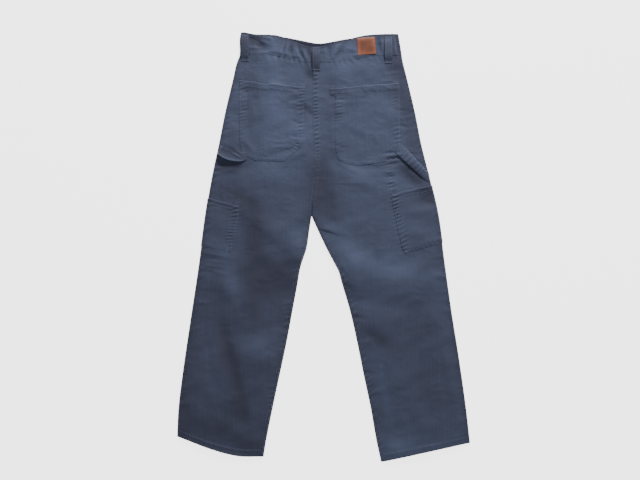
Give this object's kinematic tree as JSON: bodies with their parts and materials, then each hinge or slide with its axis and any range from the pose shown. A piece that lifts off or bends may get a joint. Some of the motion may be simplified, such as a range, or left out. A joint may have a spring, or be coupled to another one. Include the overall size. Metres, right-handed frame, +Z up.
{
  "type": "work pants, laid out flat",
  "caption": "Slate-blue twill work pants laid flat, back side up, with patch back pockets, tool pockets, hammer loops and a leather waistband patch.",
  "frame": {"origin": "centre of the footprint of the laid garment, on the table", "axes": "+X across the garment to the wearer's right, +Y along it from the hems to the waist, +Z up off the table through the front to the back, which faces up"},
  "size_m": [0.7331, 1.0735, 0.0176],
  "materials": {
    "twill": "matte slate-blue cotton twill with a fine diagonal weave",
    "patch_leather": "smooth matte orange-brown leather",
    "button_metal": "satin grey metal",
    "zip_tape": "flat woven tape with a closed metal chain"
  },
  "bodies": {
    "root": {"back_panel_left": "twill", "back_panel_right": "twill", "front_panel_left": "twill", "front_panel_right": "twill", "waistband_back": "twill", "waistband_front_left": "twill", "waistband_front_right": "twill", "back_pocket_left": "twill", "back_pocket_right": "twill", "tool_pocket_left": "twill", "tool_pocket_right": "twill", "hammer_loop_left": "twill", "hammer_loop_right": "twill", "belt_loop_back_left": "twill", "belt_loop_back_centre": "twill", "belt_loop_back_right": "twill", "belt_loop_front_left": "twill", "belt_loop_front_right": "twill", "leather_patch": "patch_leather", "waist_button": "button_metal", "fly_zip": "zip_tape"}
  },
  "joints": []
}
